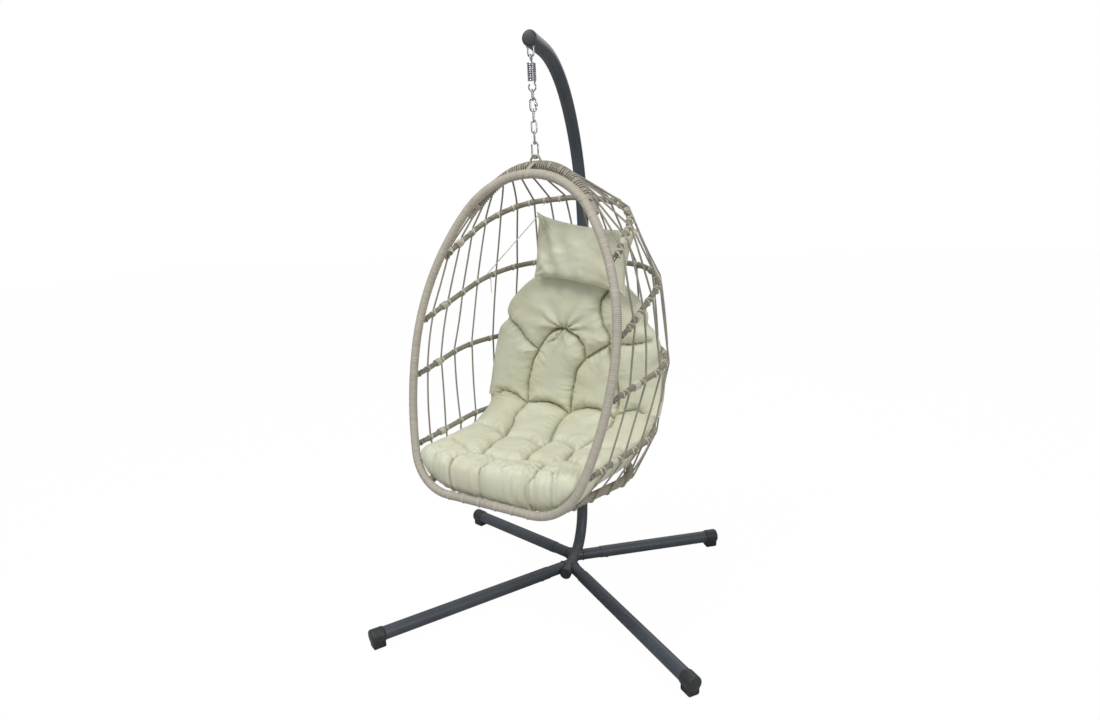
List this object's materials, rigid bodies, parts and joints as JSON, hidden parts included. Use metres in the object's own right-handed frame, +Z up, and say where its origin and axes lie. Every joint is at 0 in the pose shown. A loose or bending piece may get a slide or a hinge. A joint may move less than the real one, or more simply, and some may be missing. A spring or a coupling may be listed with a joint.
{
  "type": "hanging egg chair",
  "caption": "Hanging egg chair: woven rib basket with a tufted cushion and head pillow, hung by chain and spring from a curved steel stand on four legs",
  "frame": {"origin": "on the floor under the middle of the whole footprint", "axes": "+Z up; the open front of the stand faces -Y and the post stands at +Y; +X is the chair's right as seen from the front"},
  "size_m": [1.1734, 1.0869, 1.9779],
  "materials": {
    "coated_steel": "slate grey powder coat, satin, with a faint orange-peel texture",
    "black_plastic": "near-black moulded plastic, matt",
    "plated_steel": "zinc-plated steel, slightly dulled",
    "hoop_wicker": "round synthetic wicker wound tightly round the tube, pinkish greige",
    "rib_wicker": "round synthetic wicker wound tightly round the tube, greenish grey, with lighter hitches",
    "wicker_cord": "single round synthetic wicker strand",
    "cushion_fabric": "cream-green woven polyester with a soft satin sheen, tufted",
    "cotton_tie": "white woven tie tape"
  },
  "bodies": {
    "stand": {"lower_post": "coated_steel", "upper_arm": "coated_steel", "hanging_bail": "coated_steel", "leg_front_left": "coated_steel", "leg_front_right": "coated_steel", "leg_rear_right": "coated_steel", "leg_rear_left": "coated_steel", "spine_end_cap": "black_plastic", "arm_end_cap": "black_plastic", "foot_front_left": "black_plastic", "foot_front_right": "black_plastic", "foot_rear_right": "black_plastic", "foot_rear_left": "black_plastic", "post_bolt": "plated_steel", "leg_bolt_front_left": "plated_steel", "leg_bolt_front_right": "plated_steel", "leg_bolt_rear_right": "plated_steel", "leg_bolt_rear_left": "plated_steel"},
    "spring_unit": {"tension_spring": "plated_steel"},
    "hook_link_unit": {"hook_link": "plated_steel"},
    "quick_link_unit": {"quick_link": "plated_steel"},
    "quick_nut": {"quick_link_nut": "plated_steel"},
    "lower_chain": {"chain_link_upper": "plated_steel", "chain_link_middle": "plated_steel", "chain_link_lower": "plated_steel", "carabiner": "plated_steel"},
    "gate": {"carabiner_gate": "plated_steel"},
    "basket": {"front_hoop": "hoop_wicker", "top_arch": "hoop_wicker", "hanging_ring": "hoop_wicker", "rib_top": "rib_wicker", "rib_upper": "rib_wicker", "rib_lower": "rib_wicker", "rib_seat": "rib_wicker", "rib_base": "rib_wicker", "rib_top_bolt_left": "plated_steel", "rib_top_bolt_right": "plated_steel", "rib_upper_bolt_left": "plated_steel", "rib_upper_bolt_right": "plated_steel", "rib_lower_bolt_left": "plated_steel", "rib_lower_bolt_right": "plated_steel", "rib_seat_bolt_left": "plated_steel", "rib_seat_bolt_right": "plated_steel", "woven_cord_1": "wicker_cord", "woven_cord_2": "wicker_cord", "woven_cord_3": "wicker_cord", "woven_cord_4": "wicker_cord", "woven_cord_5": "wicker_cord", "woven_cord_6": "wicker_cord", "woven_cord_7": "wicker_cord", "woven_cord_8": "wicker_cord", "woven_cord_9": "wicker_cord", "seat_cushion": "cushion_fabric", "head_pillow": "cushion_fabric", "pillow_tie_left": "cotton_tie", "pillow_tie_right": "cotton_tie"}
  },
  "joints": [
    {"name": "swing_fore_aft", "type": "hinge", "parent": "stand", "child": "spring_unit", "pos_m": [0, -0.1136, 1.90635], "axis": [1, 0, 0], "range_deg": [-15, 4]},
    {"name": "spring_stretch", "type": "slide", "parent": "spring_unit", "child": "hook_link_unit", "axis": [0, 0, -1], "range_m": [0, 0.03], "stiffness_N_per_m": 30000, "springref_m": -0.005, "deforming": ["tension_spring"]},
    {"name": "sway_side", "type": "hinge", "parent": "hook_link_unit", "child": "quick_link_unit", "pos_m": [0, -0.1136, 1.78684], "axis": [0, 1, 0], "range_deg": [-5, 5]},
    {"name": "quick_link_screw", "type": "slide", "parent": "quick_link_unit", "child": "quick_nut", "axis": [0, 0, -1], "range_m": [0, 0.0045]},
    {"name": "chain_twist", "type": "hinge", "parent": "quick_link_unit", "child": "lower_chain", "pos_m": [0, -0.1136, 1.73], "axis": [0, 0, 1], "range_deg": [-25, 30]},
    {"name": "gate_swing", "type": "hinge", "parent": "lower_chain", "child": "gate", "pos_m": [0.00788, -0.10744, 1.63414], "axis": [0.6157, -0.788, 0], "range_deg": [0, 25], "stiffness_Nm_per_rad": 0.05},
    {"name": "basket_tilt", "type": "hinge", "parent": "lower_chain", "child": "basket", "pos_m": [0, -0.1136, 1.62884], "axis": [0.9537, -0.3007, 0], "range_deg": [-8, 2]}
  ]
}
